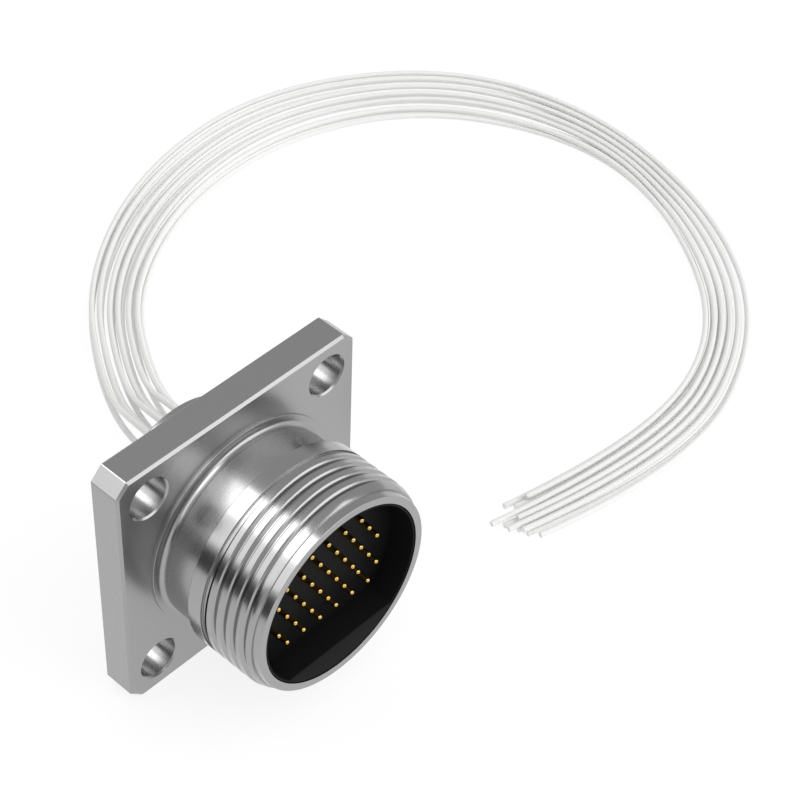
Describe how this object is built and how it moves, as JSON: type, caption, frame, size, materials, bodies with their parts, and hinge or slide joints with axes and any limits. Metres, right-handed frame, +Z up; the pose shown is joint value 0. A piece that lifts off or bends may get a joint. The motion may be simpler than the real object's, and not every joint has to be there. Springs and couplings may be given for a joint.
{
  "type": "flange mount circular connector receptacle with leads",
  "caption": "Circular receptacle with a square flange, a threaded metal shell, pin contacts in a keyed insulator cup and thin leads from the rear.",
  "frame": {"origin": "centre of the flange's rear face, which seats on the panel; it is also the centre of the four flange screws", "axes": "+Y along the shell's axis from the mating end to the rear, where the leads leave; +Z up, away from the keying flat at the bottom of the insulator; +X to the right seen from the mating end"},
  "size_m": [0.0715, 0.0549, 0.0208],
  "materials": {
    "shell_metal": "nickel plated, fine turned and milled, satin",
    "insulator_black": "moulded, semi matte",
    "potting_resin": "cast resin, slightly glossy",
    "contact_gold": "gold plated",
    "lead_insulation": "extruded fluoropolymer, smooth"
  },
  "bodies": {
    "root": {"shell": "shell_metal", "front_insulator": "insulator_black", "rear_insulator": "insulator_black", "potting": "potting_resin", "contact_row_1": "contact_gold", "contact_row_2": "contact_gold", "contact_row_3": "contact_gold", "contact_row_4": "contact_gold", "contact_row_5": "contact_gold", "contact_row_6": "contact_gold", "lead_01": "lead_insulation", "lead_02": "lead_insulation", "lead_03": "lead_insulation", "lead_04": "lead_insulation", "lead_05": "lead_insulation", "lead_06": "lead_insulation", "lead_07": "lead_insulation", "lead_08": "lead_insulation", "lead_09": "lead_insulation", "lead_10": "lead_insulation", "lead_11": "lead_insulation", "lead_12": "lead_insulation"}
  },
  "joints": []
}
